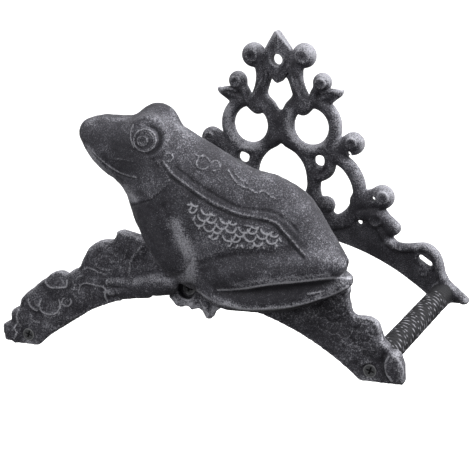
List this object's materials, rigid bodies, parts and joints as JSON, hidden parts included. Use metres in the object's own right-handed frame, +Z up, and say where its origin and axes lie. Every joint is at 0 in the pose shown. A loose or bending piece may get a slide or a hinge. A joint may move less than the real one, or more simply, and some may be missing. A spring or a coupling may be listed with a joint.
{
  "type": "hose hanger",
  "caption": "Cast-iron wall hanger for a garden hose: scrollwork back plate, round spacer bars and an arched front plate with a seated frog in relief",
  "frame": {"origin": "on the axis of the top fixing hole, in the wall face of the back plate", "axes": "+X to the right seen from the front, +Y into the wall, +Z up; the wall face is y = 0"},
  "size_m": [0.2957, 0.2163, 0.2027],
  "materials": {
    "iron": "charcoal black, rough cast, with pale brushed edges",
    "screw_steel": "dark, dull"
  },
  "bodies": {
    "root": {"back_plate": "iron", "front_plate": "iron", "bar_left": "iron", "bar_centre": "iron", "bar_right": "iron", "rear_screw_left": "screw_steel", "rear_screw_centre": "screw_steel", "rear_screw_right": "screw_steel", "front_screw_left": "screw_steel", "front_screw_centre": "screw_steel", "front_screw_right": "screw_steel"}
  },
  "joints": []
}
